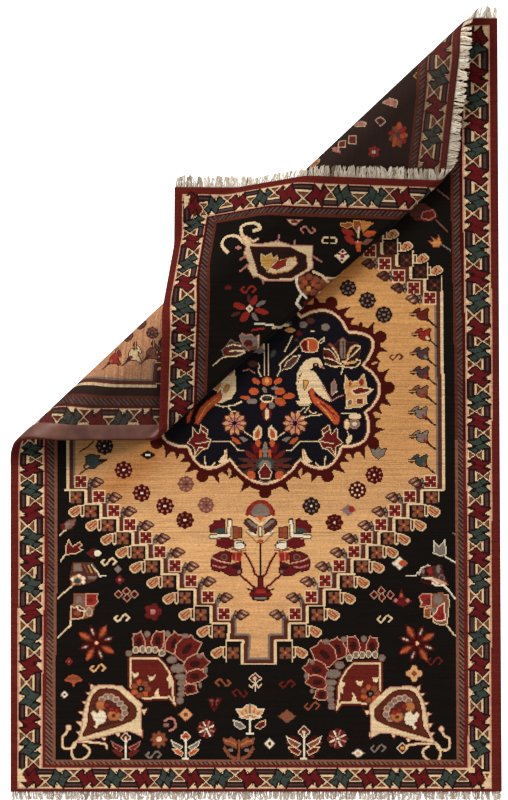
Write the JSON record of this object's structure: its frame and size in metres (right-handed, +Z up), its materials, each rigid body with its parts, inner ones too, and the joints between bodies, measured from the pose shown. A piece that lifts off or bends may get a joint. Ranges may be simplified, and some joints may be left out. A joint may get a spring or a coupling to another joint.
{
  "type": "qashqai rug",
  "caption": "Hand-knotted wool pile rug with fringed ends, lying on the floor with one corner turned back and the tip turned over again.",
  "frame": {"origin": "on the floor at the middle of the outline, fringes included", "axes": "+Z up from the floor through the pile, +Y along the rug's length towards the end with the folded corner, +X across its width"},
  "size_m": [1.2157, 1.9738, 0.1067],
  "materials": {
    "pile": "short wool pile in a traditional pattern, with a ribbed woven back and red overcast sides",
    "strip": "smooth brown leather",
    "fringe": "undyed ivory and grey wool yarn"
  },
  "bodies": {
    "root": {"rug": "pile", "side_strip": "strip", "fringe_top": "fringe", "fringe_bottom": "fringe"}
  },
  "joints": []
}
